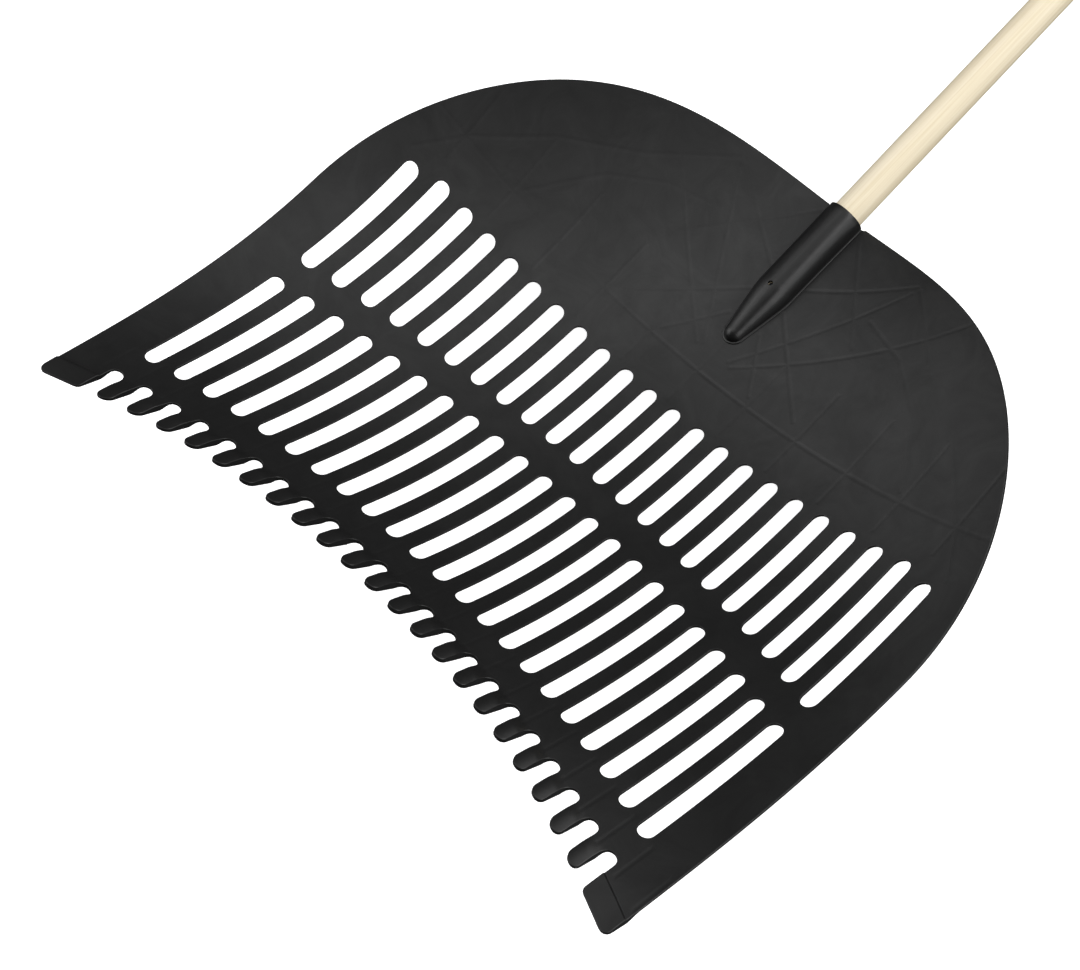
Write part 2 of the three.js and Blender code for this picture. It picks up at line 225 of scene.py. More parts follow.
def socket_half_width(s):
    """Half the socket's width at s behind its mouth (s is negative): straight, then tapered."""
    nose_start = NOSE_R - SOCKET_LENGTH
    slope = (SOCKET_R - NOSE_R) / (-SOCKET_STRAIGHT - nose_start)
    return np.clip(SOCKET_R + (s + SOCKET_STRAIGHT) * slope, NOSE_R, SOCKET_R)


def outline_distance(x, y):
    """Distance to the blade's nearest edge in plan, negative inside the plastic."""
    side = np.abs(x) - HALF_WIDTH - REAR_FLATS - SIDE_LEAN * (y - REAR_AXIS_Y)
    ellipse = np.hypot(x / HALF_WIDTH, (y - REAR_AXIS_Y) / REAR_LENGTH)
    steepness = np.hypot(x / HALF_WIDTH ** 2, (y - REAR_AXIS_Y) / REAR_LENGTH ** 2)
    round_about = np.arctan2((y - REAR_AXIS_Y) / REAR_LENGTH, np.abs(x) / HALF_WIDTH)
    rear = (ellipse - 1) * ellipse / np.maximum(steepness, 1e-9)
    rear = rear - REAR_FLATS * np.cos(REAR_FLAT_TURNS * round_about)
    flank = np.where(y > REAR_AXIS_Y, rear, side)
    lean = 2 * TIP_BOW * x / BOW_HALF_SPAN ** 2
    front = (bowed(TIP_Y, TIP_BOW, x) - y) / np.sqrt(1 + lean ** 2)

    limit = (SLOT_COLUMNS - 0.5) * PITCH
    column = np.clip((np.floor(x / PITCH) + 0.5) * PITCH, -limit, limit)
    last = np.abs(column) > limit - 1
    lower = slot_distance(x, y, column, bowed(*LOWER_SLOTS[:2], column),
                          bowed(*LOWER_SLOTS[2:], column))
    upper = slot_distance(x, y, column, bowed(*UPPER_SLOTS[:2], column),
                          bowed(*UPPER_SLOTS[2:], column) - LAST_UPPER_CUT * last)
    gap = slot_distance(x, y, column, np.full_like(x, -1e4), bowed(GAP_Y, GAP_BOW, column),
                        GAP_WIDTH)

    corner = np.where(np.abs(x) > limit, TAB_INNER_RADIUS, TIP_RADIUS)
    comb = rounded_corner(front, -gap, corner)
    sides = rounded_corner(front, flank, TAB_RADIUS)
    s = (y - MOUTH_Y) / math.cos(HANDLE_RISE)
    nose = np.hypot(x, s + SOCKET_LENGTH - NOSE_R) - NOSE_R
    tube = np.where(s < NOSE_R - SOCKET_LENGTH, nose, np.abs(x) - socket_half_width(s))
    opening = tube - CLEARANCE
    return np.maximum.reduce([comb, sides, flank, -lower, -upper, -opening])


print("middle of a bar:", outline_distance(np.array([0.0]), np.array([80.0])).round(2), "mm")

# %% [markdown]
# ## A sheet from a grid
# A grid is laid over the blade with its rows bent like the rows of slots, so that few cells are cut
# askew. Cells whose middle is in the plastic are kept, and the points round their border are slid
# on to the true edge, down the slope of the distance. The result is all four-sided faces with clean
# round holes. The upper face, the lower face and a rounded rim between them then share the points.

# %% Rows and columns of the grid
CELLS_PER_PITCH = 12
STEP_ROW_STEP = 0.6
END_ROW_STEP = 1.9
COMB_ROW_STEP = 4
PLATE_ROW_STEP = 4.2
PLAIN_ROW_STEP = 6.2
GRID_MARGIN = 6
STEP_Y = TIP_Y + THICK_STRIP
STEP_LENGTH = 2.4
ROW_BENDS = np.array([
    [TIP_Y - 8, TIP_BOW], [STEP_Y, TIP_BOW], [GAP_Y, GAP_BOW], LOWER_SLOTS[:2], LOWER_SLOTS[2:],
    UPPER_SLOTS[:2], UPPER_SLOTS[2:], [REAR_AXIS_Y + REAR_LENGTH + GRID_MARGIN, 0],
])
ROW_ZONES = [
    (TIP_Y - 8, STEP_Y - STEP_LENGTH, END_ROW_STEP), (STEP_Y - STEP_LENGTH, STEP_Y, STEP_ROW_STEP),
    (STEP_Y, GAP_Y + 2, END_ROW_STEP), (GAP_Y + 2, -2, COMB_ROW_STEP), (-2, 10, END_ROW_STEP),
    (10, 135, PLAIN_ROW_STEP), (135, 180, END_ROW_STEP), (180, 243, PLAIN_ROW_STEP),
    (243, 264, END_ROW_STEP), (264, REAR_AXIS_Y + REAR_LENGTH + GRID_MARGIN, PLATE_ROW_STEP),
]


def grid_rows():
    """Row positions: each zone is divided evenly into steps near its own step length."""
    zones = [np.linspace(a, b, max(1, round((b - a) / step)), endpoint=False)
             for a, b, step in ROW_ZONES]
    return np.concatenate(zones + [[ROW_ZONES[-1][1]]])


columns_each_side = math.ceil((HALF_WIDTH + GRID_MARGIN) / PITCH * CELLS_PER_PITCH)
columns = np.arange(-columns_each_side, columns_each_side + 1) * PITCH / CELLS_PER_PITCH
rows = grid_rows()
grid_x, grid_v = np.meshgrid(columns, rows)
grid_y = bowed(grid_v, np.interp(grid_v, *ROW_BENDS.T), grid_x)
print("grid:", grid_x.shape)

# %% Keep the cells in the plastic and slide the border on to the edge
EDGE_R = 0.5
TOOTH_EDGE_R = 0.6
PROBE = 0.05


def smooth_step(a, b, t):
    """0 before a, 1 after b, and three t squared less two t cubed between them."""
    u = np.clip((t - a) / (b - a), 0, 1)
    return u * u * (3 - 2 * u)


def edge_radius(x, y):
    """Radius of the rim's rounding: small on the sheet, larger on the teeth ahead of the step."""
    ahead = bowed(STEP_Y, TIP_BOW, x) - y
    on_teeth = smooth_step(0.5, -0.5, np.abs(x / PITCH) - SLOT_COLUMNS + 0.5)
    return EDGE_R + (TOOTH_EDGE_R - EDGE_R) * smooth_step(-4, 5, ahead) * on_teeth


def rim_distance(x, y):
    """Distance to the line where the upper face ends and its rounding begins."""
    return outline_distance(x, y) + edge_radius(x, y)


def middles(a):
    """Mean of each cell's four corners."""
    return (a[:-1, :-1] + a[1:, :-1] + a[:-1, 1:] + a[1:, 1:]) / 4


def slide_to(x, y, distance):
    """Moves places along the distance's slope until it is nought (Newton's steps)."""
    for _ in range(5):
        d = distance(x, y)
        slope_x = (distance(x + PROBE, y) - distance(x - PROBE, y)) / (2 * PROBE)
        slope_y = (distance(x, y + PROBE) - distance(x, y - PROBE)) / (2 * PROBE)
        size = np.maximum(slope_x ** 2 + slope_y ** 2, 0.25)
        x = x - d * slope_x / size
        y = y - d * slope_y / size
    return x, y


def slope_direction(x, y, distance):
    """Unit direction, in plan, in which the distance grows: out of the plastic."""
    slope = np.stack([distance(x + PROBE, y) - distance(x - PROBE, y),
                      distance(x, y + PROBE) - distance(x, y - PROBE)], axis=-1)
    return slope / np.maximum(np.linalg.norm(slope, axis=-1, keepdims=True), 1e-9)


kept = rim_distance(middles(grid_x), middles(grid_y)) < 0
number = np.arange(grid_x.size).reshape(grid_x.shape)
cells = np.stack([number[:-1, :-1], number[:-1, 1:], number[1:, 1:], number[1:, :-1]], axis=-1)[kept]
used, cells = np.unique(cells, return_inverse=True)
cells = cells.reshape(-1, 4)
plan_x, plan_y = grid_x.ravel()[used], grid_y.ravel()[used]

edges = np.concatenate([cells[:, [k, (k + 1) % 4]] for k in range(4)])
ends, turns, counts = np.unique(np.sort(edges, axis=1), axis=0, return_index=True,
                                return_counts=True)
rim_edges = edges[turns[counts == 1]]
rim = np.unique(rim_edges)
plan_x[rim], plan_y[rim] = slide_to(plan_x[rim], plan_y[rim], rim_distance)
print(len(cells), "cells kept,", len(rim), "points on the rim")

# %% [markdown]
# ## Thickness and relief
# The sheet is an even 2.5 mm. The ends of the teeth and the corner tabs wear first, so they are
# thicker: they stand a little proud behind a small step, and the underside swells to meet them.
# Each tooth's top is also slightly domed, as the cutter that made the mould left it.

# %% Offsets of the two faces
SHEET = 2.5
STRIP_RAISED = 1.4
MIDDLE_RAISED_MORE = 1.2
STRIP_BELOW = 5.2
TIP_RAISED = 0.6
TIP_BELOW = 1.4
DOME = 0.6


def ahead_of_step(x, y):
    """Distance ahead of the step, and that as a share of the way from the step to the tip."""
    ahead = bowed(STEP_Y, TIP_BOW, x) - y
    return ahead, np.clip(ahead / THICK_STRIP, 0, 1)


def upper_offset(x, y):
    """Rise of the upper face over the dish: a step on the tabs, a long swelling on the teeth."""
    ahead, share = ahead_of_step(x, y)
    tooth = np.round(x / PITCH)
    on_teeth = np.abs(tooth) < SLOT_COLUMNS
    rise = np.where(on_teeth, smooth_step(-8, 7, ahead), smooth_step(0, STEP_LENGTH, ahead))
    middle = MIDDLE_RAISED_MORE * np.clip(1 - np.square(x / BOW_HALF_SPAN), 0, 1)
    raised = STRIP_RAISED + middle + (TIP_RAISED - STRIP_RAISED) * share ** 2
    across = (x - tooth * PITCH) / ((PITCH - GAP_WIDTH) / 2)
    dome = DOME * np.clip(1 - across ** 2, 0, 1) * smooth_step(-9, 3, ahead) * on_teeth
    return raised * rise + dome


def lower_offset(x, y):
    """Depth of the lower face: the sheet's, the strip's behind the step, then a wedge."""
    ahead, share = ahead_of_step(x, y)
    strip = STRIP_BELOW + (TIP_BELOW - STRIP_BELOW) * share
    return SHEET + (strip - SHEET) * smooth_step(-12, 0, ahead)


def offset_normal(x, y, offset, sign):
    """Normal of a face moved by an offset: the dish's, tilted by the offset's own slope."""
    normal = face_normal(x, y)
    tilt = np.stack([offset(x + 0.2, y) - offset(x - 0.2, y),
                     offset(x, y + 0.2) - offset(x, y - 0.2),
                     np.zeros_like(x)], axis=-1) / 0.4
    tilted = sign * (normal - sign * tilt)
    return tilted / np.linalg.norm(tilted, axis=-1, keepdims=True)


dish = np.stack([plan_x, plan_y, height(plan_x, plan_y)], axis=-1)
normal = face_normal(plan_x, plan_y)
upper = dish + normal * upper_offset(plan_x, plan_y)[:, None]
lower = dish - normal * lower_offset(plan_x, plan_y)[:, None]
upper_normals = offset_normal(plan_x, plan_y, upper_offset, 1)
lower_normals = offset_normal(plan_x, plan_y, lower_offset, -1)

# %% [markdown]
# The rim is a narrow band that turns from the upper face to the wall, goes down the wall, and turns
# again into the lower face. Its normals are known exactly, so they are given to the mesh and the
# small radius catches the light evenly even where the faces beside it are large.

# %% The rim between the faces
RIM_TURNS = np.radians([0, 30, 60, 90])

outward = slope_direction(plan_x[rim], plan_y[rim], outline_distance)
outward = np.concatenate([outward, np.zeros((len(rim), 1))], axis=1)
rim_normal = normal[rim]
outward -= rim_normal * np.sum(outward * rim_normal, axis=1, keepdims=True)
outward /= np.linalg.norm(outward, axis=1, keepdims=True)
rim_radius = edge_radius(plan_x[rim], plan_y[rim])[:, None]


def rim_ring(start, face, turn):
    """A ring of the quarter round that starts at the face's border and bends to the wall."""
    out = outward * rim_radius * math.sin(turn)
    down = -face * rim_radius * (1 - math.cos(turn))
    return start + out + down, outward * math.sin(turn) + face * math.cos(turn)


rings = [rim_ring(upper[rim], rim_normal, turn) for turn in RIM_TURNS[1:]]
rings += [rim_ring(lower[rim], -rim_normal, turn) for turn in RIM_TURNS[:0:-1]]
ring_numbers = np.full(len(upper), -1)
ring_numbers[rim] = np.arange(len(rim))
band = ring_numbers[rim_edges]
layers = [rim_edges] + [band + 2 * len(upper) + k * len(rim) for k in range(len(rings))]
layers += [rim_edges + len(upper)]
walls = np.concatenate([np.stack([a[:, 1], a[:, 0], b[:, 0], b[:, 1]], axis=-1)
                        for a, b in zip(layers, layers[1:])])

blade_points = np.concatenate([upper, lower] + [ring[0] for ring in rings])
blade_normals = np.concatenate([upper_normals, lower_normals] + [ring[1] for ring in rings])
blade_faces = np.concatenate([cells, cells[:, ::-1] + len(upper), walls])
print("blade:", len(blade_faces) * 2, "triangles")

# %% Make the mesh


def add_piece(name, points, faces, normals=None):
    """A mesh object from arrays in the model's frame, in millimetres, with its normals if given."""
    mesh = bpy.data.meshes.new(name)
    mesh.from_pydata((points * MM).tolist(), [], faces if isinstance(faces, list) else faces.tolist())
    mesh.validate()
    mesh.shade_smooth()
    if normals is not None:
        mesh.normals_split_custom_set_from_vertices(normals.tolist())
    piece = bpy.data.objects.new(name, mesh)
    bpy.context.scene.collection.objects.link(piece)
    return piece


blade = add_piece("slotted_blade", laid_down(blade_points), blade_faces,
                  blade_normals @ AXIS_TURN.T)

# %% [markdown]
# ## Ribs under the blade
# A moulded sheet this wide is stiffened by thin ribs on its underside. Where a rib joins, the
# plastic is thicker, cools last and shrinks, and it leaves a faint hollow line on the upper face.
# The lines on the face therefore give the layout: braces that fan out from the socket, two long
# curved ones near the edge, one that follows the rear row of slots, and short ones in line with
# every second bar. The same list draws the ribs here and the lines in the plastic's finish.

# %% Layout of the ribs, for the right half
BRACES = [
    [(20, 402), (100, 447)], [(15, 320), (100, 440)], [(20, 317), (168, 430)],
    [(22, 462), (92, 382)], [(20, 377), (100, 310)], [(18, 352), (52, 307)],
    [(88, 407), (135, 390)], [(135, 390), (180, 357)], [(180, 357), (222, 300)],
    [(105, 445), (165, 391)], [(165, 391), (230, 345)], [(230, 345), (285, 290)],
    [(285, 290), (312, 250)],
]
CROSS_RIB = (299, 11)
CROSS_RIB_HALF = 308
SHORT_RIB_PITCH = 2 * PITCH
SHORT_RIB_Y = (266, 345)
SHORT_RIBS_EACH_SIDE = 5
SHORT_RIB_EDGE, SHORT_RIB_FALL = 452, 26
RIB_DEEP = 4
RIB_HALF_ROOT, RIB_HALF_TIP = 1.1, 0.7
RIB_IN_SHEET = 0.7
RIB_STEP = 6


def rib_strip(start, end, bow=0):
    """Points of one rib: a tapered strip under the lower face, along a line bent as x squared."""
    count = max(2, round(math.dist(start, end) / RIB_STEP))
    t = np.linspace(0, 1, count + 1)[:, None]
    middle = np.array(start) * (1 - t) + np.array(end) * t
    middle[:, 1] -= bow * np.square(middle[:, 0] / BOW_HALF_SPAN)
    along = np.gradient(middle, axis=0)
    across = np.stack([-along[:, 1], along[:, 0]], axis=-1)
    across /= np.linalg.norm(across, axis=1, keepdims=True)
    fade = np.clip(np.minimum(t, 1 - t) * count, 0.25, 1)
    corners = []
    root, tip = SHEET - RIB_IN_SHEET, SHEET + RIB_DEEP
    for side, depth, half in ((1, root, RIB_HALF_ROOT), (1, tip, RIB_HALF_TIP),
                              (-1, tip, RIB_HALF_TIP), (-1, root, RIB_HALF_ROOT)):
        place = middle + side * half * across
        down = face_normal(place[:, 0], place[:, 1])
        depth = SHEET + (depth - SHEET) * fade if depth > SHEET else depth
        corners.append(np.column_stack([place, height(place[:, 0], place[:, 1])]) - down * depth)
    points = np.stack(corners, axis=1).reshape(-1, 3)
    first = np.arange(count)[:, None] * 4
    ring = np.arange(4)
    faces = np.stack([first + ring, first + (ring + 1) % 4, first + 4 + (ring + 1) % 4,
                      first + 4 + ring], axis=-1).reshape(-1, 4)
    caps = np.array([[3, 2, 1, 0], [0, 1, 2, 3]]) + [[0], [count * 4]]
    return points, np.concatenate([faces, caps])[:, ::-1]


def joined(parts):
    """Several (points, faces) pairs as one pair, with each one's faces renumbered."""
    counts = np.cumsum([0] + [len(points) for points, _ in parts])
    return (np.concatenate([points for points, _ in parts]),
            np.concatenate([faces + start for (_, faces), start in zip(parts, counts)]))


rib_parts = [rib_strip((side * a[0], a[1]), (side * b[0], b[1])) for a, b in BRACES
             for side in (1, -1)]
rib_parts.append(rib_strip((-CROSS_RIB_HALF, CROSS_RIB[0]), (CROSS_RIB_HALF, CROSS_RIB[0]),
                           CROSS_RIB[1]))
for rank in range(1, SHORT_RIBS_EACH_SIDE + 1):
    rear = min(SHORT_RIB_Y[1], SHORT_RIB_EDGE - SHORT_RIB_FALL * rank)
    for x in (-rank * SHORT_RIB_PITCH, rank * SHORT_RIB_PITCH):
        rib_parts.append(rib_strip((x, SHORT_RIB_Y[0] - rank), (x, rear)))
rib_points, rib_faces = joined(rib_parts)
ribs = add_piece("underside_ribs", laid_down(rib_points), rib_faces)
ribs.data.set_sharp_from_angle(angle=math.radians(30))
print(len(rib_parts), "ribs,", len(rib_faces) * 2, "triangles")

# %% [markdown]
# ## The handle
# A broom handle is a plain dowel with a rounded butt, so it is a profile of distance along the axis
# and radius, swept round. It stays out of the socket's bottom, where the bore ends.

# %% Profiles swept round the handle's axis


def swept_round(profile, turns):
    """Points (r sin a, s, r cos a) for each profile point and angle, and the faces between."""
    s, r = np.array(profile, float).T
    angle = np.linspace(0, 2 * np.pi, turns, endpoint=False)
    points = np.stack([np.outer(r, np.sin(angle)), np.repeat(s[:, None], turns, 1),
                       np.outer(r, np.cos(angle))], axis=-1).reshape(-1, 3)
    ring = np.arange(turns)
    along = np.arange(len(s) - 1)[:, None] * turns
    faces = np.stack([along + ring, along + (ring + 1) % turns,
                      along + turns + (ring + 1) % turns, along + turns + ring], axis=-1)
    faces = faces.reshape(-1, 4)
    caps = [ring[::-1], ring + (len(s) - 1) * turns]
    return points + [0, AXIS_Y, AXIS_Z], faces.tolist() + [cap.tolist() for cap in caps]


def quarter(centre_s, centre_r, radius, start, end, steps):
    """Points of an arc in the profile's plane, from one angle to another in degrees."""
    angle = np.radians(np.linspace(start, end, steps + 1))
    return list(zip(centre_s + radius * np.sin(angle), centre_r + radius * np.cos(angle)))


HANDLE_R = 14
HANDLE_LENGTH = 1350
BORE_DEPTH = 136
BORE_R = HANDLE_R + CLEARANCE
TAPER_WALL = 2
BUTT_R = 5


def bore_radius(s):
    """The bore fits the handle, and narrows with the outside where that leaves too thin a wall."""
    return float(min(BORE_R, socket_half_width(np.array(s)) - TAPER_WALL))


def stick_radius(s):
    """The handle's end is whittled to the bore, 0.3 mm smaller all round."""
    return bore_radius(s) - CLEARANCE


butt_end = HANDLE_LENGTH - BORE_DEPTH
stick_profile = [(s, stick_radius(s)) for s in np.linspace(1 - BORE_DEPTH, -80, 12)]
stick_profile += [(s, HANDLE_R) for s in np.linspace(-60, butt_end - BUTT_R, 60)]
stick_profile += quarter(butt_end - BUTT_R, HANDLE_R - BUTT_R, BUTT_R, 5, 90, 8)
stick = add_piece("wooden_handle", *swept_round(stick_profile, 64))
stick.data.set_sharp_from_angle(angle=math.radians(50))
print("handle runs to y", round(AXIS_Y + butt_end, 1))

# %% [markdown]
# ## The socket
# The tube is straight for the length of the handle's end and then narrows to a round nose. It is
# swept like the handle, out along the outside and back along the bore. A small hole on top lets the
# fixing pin in. It goes through the tube and into the stick, so a Boolean cuts it in both.

# %% Sweep the tube
MOUTH_ROUND = 0.8
BORE_ROUND = 0.5
nose_centre = NOSE_R - SOCKET_LENGTH

tube_profile = quarter(nose_centre, 0, NOSE_R, -88, -30, 9)
tube_profile += [(s, float(socket_half_width(np.array(s))))
                 for s in np.linspace(nose_centre - 2, -SOCKET_STRAIGHT - 6, 14)]
tube_profile += [(s, SOCKET_R) for s in np.linspace(-SOCKET_STRAIGHT + 4, -MOUTH_ROUND, 24)]
tube_profile += quarter(-MOUTH_ROUND, SOCKET_R - MOUTH_ROUND, MOUTH_ROUND, 15, 90, 5)
tube_profile += quarter(-BORE_ROUND, BORE_R + BORE_ROUND, BORE_ROUND, 90, 180, 4)
tube_profile += [(s, bore_radius(s)) for s in np.linspace(-6, -BORE_DEPTH, 20)]
tube = add_piece("handle_socket_tube", *swept_round(tube_profile, 96))
print("tube:", len(tube.data.polygons), "faces")

# %% Cut the pin's hole
PIN_FROM_MOUTH = 89.5
HOLE_R = 2.3
hole_profile = [(0, HOLE_R), (SOCKET_R + 4, HOLE_R)]
hole_points, hole_faces = swept_round(hole_profile, 32)
hole_points = (hole_points - [0, AXIS_Y, AXIS_Z])[:, [0, 2, 1]]
cutter = add_piece("pin_hole_cutter", hole_points + [0, AXIS_Y - PIN_FROM_MOUTH, AXIS_Z],
                   [face[::-1] for face in hole_faces])
for piece in (tube, stick):
    cut = piece.modifiers.new("pin_hole", "BOOLEAN")
    cut.object = cutter
    cut.solver = "EXACT"
    bpy.context.view_layer.update()
    cut_mesh = bpy.data.meshes.new_from_object(piece.evaluated_get(
        bpy.context.evaluated_depsgraph_get()))
    piece.modifiers.clear()
    piece.data = cut_mesh
    piece.data.shade_smooth()
    piece.data.set_sharp_from_angle(angle=math.radians(50))
    print(piece.name, "with its hole:", len(piece.data.polygons), "faces")
bpy.data.objects.remove(cutter)

# %% [markdown]
# The tube stands on a narrow foot that follows the dish and hides the joint. It is a low rounded
# strip carried round the tube's outline, lying on the blade's face.

# %% Foot of the socket
FLANGE = 1.6
FLANGE_THICKNESS = 1.1
foot_section = np.array([(-2.5, -0.6), (-2.5, FLANGE_THICKNESS), (0.7, FLANGE_THICKNESS),
                         (1.15, 0.98), (1.48, 0.65), (FLANGE, 0.2), (FLANGE, -0.6)])


def tube_outline():
    """The tube's outline in plan: along the right side, round the nose and back up the left."""
    s = np.concatenate([np.linspace(0, -SOCKET_STRAIGHT, 32),
                        np.linspace(-SOCKET_STRAIGHT - 3, nose_centre - 0.5, 14)])
    side = np.column_stack([socket_half_width(s), s])
    turn = np.radians(np.linspace(6, 174, 22))
    nose = np.column_stack([NOSE_R * np.cos(turn), nose_centre - NOSE_R * np.sin(turn)])
    return np.concatenate([side, nose, side[::-1] * [-1, 1]])


path = tube_outline() * [1, math.cos(HANDLE_RISE)] + [0, MOUTH_Y]
along = np.gradient(path, axis=0)
along /= np.linalg.norm(along, axis=1, keepdims=True)
aside = np.stack([-along[:, 1], along[:, 0]], axis=-1)
place = path[:, None] + aside[:, None] * foot_section[None, :, :1]
place[..., 1] = np.minimum(place[..., 1], MOUTH_Y)
foot = np.concatenate([place, height(place[..., 0], place[..., 1])[..., None]], axis=-1)
foot += face_normal(place[..., 0], place[..., 1]) * foot_section[None, :, 1:]
sides = foot_section.shape[0]
first = np.arange(len(path) - 1)[:, None] * sides
ring = np.arange(sides)
foot_faces = np.stack([first + ring, first + (ring + 1) % sides, first + sides + (ring + 1) % sides,
                       first + sides + ring], axis=-1).reshape(-1, 4).tolist()
foot_faces += [ring[::-1].tolist(), (ring + (len(path) - 1) * sides).tolist()]
foot_piece = add_piece("socket_foot", laid_down(foot.reshape(-1, 3)),
                       [face[::-1] for face in foot_faces])
foot_piece.data.set_sharp_from_angle(angle=math.radians(50))
print("foot:", len(foot_faces), "faces")

# %% [markdown]
# ## Materials
# The colours are given as sRGB hex values, which is how they are read off a sample card, and one
# function turns them into the linear values that the shader works with.

# %% Material helpers


def linear(hex_colour):
    """sRGB hex to linear: below 0.04045 divided by 12.92, otherwise raised to the power 2.4."""
    values = [int(hex_colour[i:i + 2], 16) / 255 for i in (1, 3, 5)]
    return [v / 12.92 if v <= 0.04045 else ((v + 0.055) / 1.055) ** 2.4 for v in values] + [1]


def add_node(tree, kind, settings=None, links=None):
    """A node with its settings and links. A link's value is a socket or a plain number."""
    node = tree.nodes.new(kind)
    for key, value in (settings or {}).items():
        setattr(node, key, value)
    for key, value in (links or {}).items():
        if isinstance(value, bpy.types.NodeSocket):
            tree.links.new(value, node.inputs[key])
        else:
            node.inputs[key].default_value = value
    return node


def new_material(name, colour, roughness):
    """A material, its tree and its main shader, with an even colour and roughness to start from."""
    made = bpy.data.materials.new(name)
    made.use_nodes = True
    shader = made.node_tree.nodes["Principled BSDF"]
    shader.inputs["Base Color"].default_value = linear(colour)
    shader.inputs["Roughness"].default_value = roughness
    return made, made.node_tree, shader


# %% [markdown]
# ### Satin polypropylene
# The blade is injection moulded black polypropylene from a lightly blasted mould: almost no colour
# of its own, and a wide soft sheen. The mould's grit is about 0.4 mm, and it is drawn at 0.8 mm so
# that it shows. Wide, slow changes of gloss and sheen come from how the plastic flowed and cooled.
# The sink lines over the ribs are less than 0.1 mm deep, far finer than the mesh, so they are a
# bump worked out from the ribs' own list: the distance to the nearest rib, with the left half
# folded on to the right.

# %% Working-frame coordinates in a material


def plan_coordinates(tree):
    """Object coordinates in the working frame, in millimetres, with x folded to its size."""
    mouth = np.array([0, AXIS_Y, AXIS_Z]) @ AXIS_TURN
    place = add_node(tree, "ShaderNodeTexCoord").outputs["Object"]
    turned = add_node(tree, "ShaderNodeMapping", links={
        "Vector": place, "Scale": (1 / MM, 1 / MM, 1 / MM), "Rotation": (HANDLE_RISE, 0, 0),
        "Location": (0, MOUTH_Y - mouth[1], MOUTH_Z - mouth[2])})
    parts = add_node(tree, "ShaderNodeSeparateXYZ", links={0: turned.outputs[0]})
    x = add_node(tree, "ShaderNodeMath", {"operation": "ABSOLUTE"}, {0: parts.outputs["X"]})
    plan = add_node(tree, "ShaderNodeCombineXYZ", links={0: x.outputs[0], 1: parts.outputs["Y"]})
    return plan.outputs[0], x.outputs[0], parts.outputs["Y"]


def to_segment(tree, plan, start, end):
    """Distance to a line between two places: less its start, less its own length along the line."""
    start, end = np.array(start + (0,), float), np.array(end + (0,), float)
    length = float(np.linalg.norm(end - start))
    way = tuple((end - start) / length)
    since = add_node(tree, "ShaderNodeVectorMath", {"operation": "SUBTRACT"},
                     {0: plan, 1: tuple(start)}).outputs[0]
    run = add_node(tree, "ShaderNodeVectorMath", {"operation": "DOT_PRODUCT"},
                   {0: since, 1: way}).outputs["Value"]
    run = add_node(tree, "ShaderNodeClamp", links={0: run, 1: 0.0, 2: length}).outputs[0]
    foot = add_node(tree, "ShaderNodeVectorMath", {"operation": "SCALE"},
                    {0: way, "Scale": run}).outputs[0]
    return add_node(tree, "ShaderNodeVectorMath", {"operation": "DISTANCE"},
                    {0: since, 1: foot}).outputs["Value"]


# %% Blade plastic
SINK_HALF_WIDTH = 2.9
SINK_DEPTH = 0.08
blade_plastic, tree, shader = new_material("satin_moulded_polypropylene", "#131313", 0.35)
plan, plan_x_node, plan_y_node = plan_coordinates(tree)
distance = add_node(tree, "ShaderNodeMath", {"operation": "MULTIPLY_ADD"}, {
    0: add_node(tree, "ShaderNodeMath", {"operation": "MULTIPLY"},
                {0: plan_x_node, 1: plan_x_node}).outputs[0],
    1: CROSS_RIB[1] / BOW_HALF_SPAN ** 2, 2: plan_y_node}).outputs[0]
distance = add_node(tree, "ShaderNodeMath", {"operation": "SUBTRACT"},
                    {0: distance, 1: CROSS_RIB[0]}).outputs[0]
distance = add_node(tree, "ShaderNodeMath", {"operation": "ABSOLUTE"}, {0: distance}).outputs[0]
for start, end in BRACES:
    distance = add_node(tree, "ShaderNodeMath", {"operation": "MINIMUM"}, {
        0: distance, 1: to_segment(tree, plan, start, end)}).outputs[0]
bowed_y = add_node(tree, "ShaderNodeMath", {"operation": "MULTIPLY_ADD"}, {
    0: add_node(tree, "ShaderNodeMath", {"operation": "MULTIPLY"},
                {0: plan_x_node, 1: plan_x_node}).outputs[0],
    1: GAP_BOW / BOW_HALF_SPAN ** 2, 2: plan_y_node}).outputs[0]
for y_node, low, high, spacing in ((plan_y_node, *SHORT_RIB_Y, SHORT_RIB_PITCH),
                                   (bowed_y, GAP_Y - 8, LOWER_SLOTS[0] + 2, PITCH)):
    beside = add_node(tree, "ShaderNodeMath", {"operation": "PINGPONG"},
                      {0: plan_x_node, 1: spacing / 2}).outputs[0]
    past = add_node(tree, "ShaderNodeMath", {"operation": "SUBTRACT"},
                    {0: y_node, 1: (low + high) / 2}).outputs[0]
    past = add_node(tree, "ShaderNodeMath", {"operation": "ABSOLUTE"}, {0: past}).outputs[0]
    past = add_node(tree, "ShaderNodeMath", {"operation": "SUBTRACT"},
                    {0: past, 1: (high - low) / 2}).outputs[0]
    beside = add_node(tree, "ShaderNodeMath", {"operation": "MAXIMUM"},
                      {0: beside, 1: past}).outputs[0]
    distance = add_node(tree, "ShaderNodeMath", {"operation": "MINIMUM"},
                        {0: distance, 1: beside}).outputs[0]
sink = add_node(tree, "ShaderNodeMapRange", {"interpolation_type": "SMOOTHSTEP"},
                {"Value": distance, "From Min": 0.0, "From Max": SINK_HALF_WIDTH})
sink_bump = add_node(tree, "ShaderNodeBump", links={
    "Height": sink.outputs[0], "Distance": SINK_DEPTH * MM, "Strength": 1.0})
object_place = add_node(tree, "ShaderNodeTexCoord").outputs["Object"]
flow = add_node(tree, "ShaderNodeTexNoise", links={
    "Vector": object_place, "Scale": 14.0, "Detail": 3.0, "Roughness": 0.6})
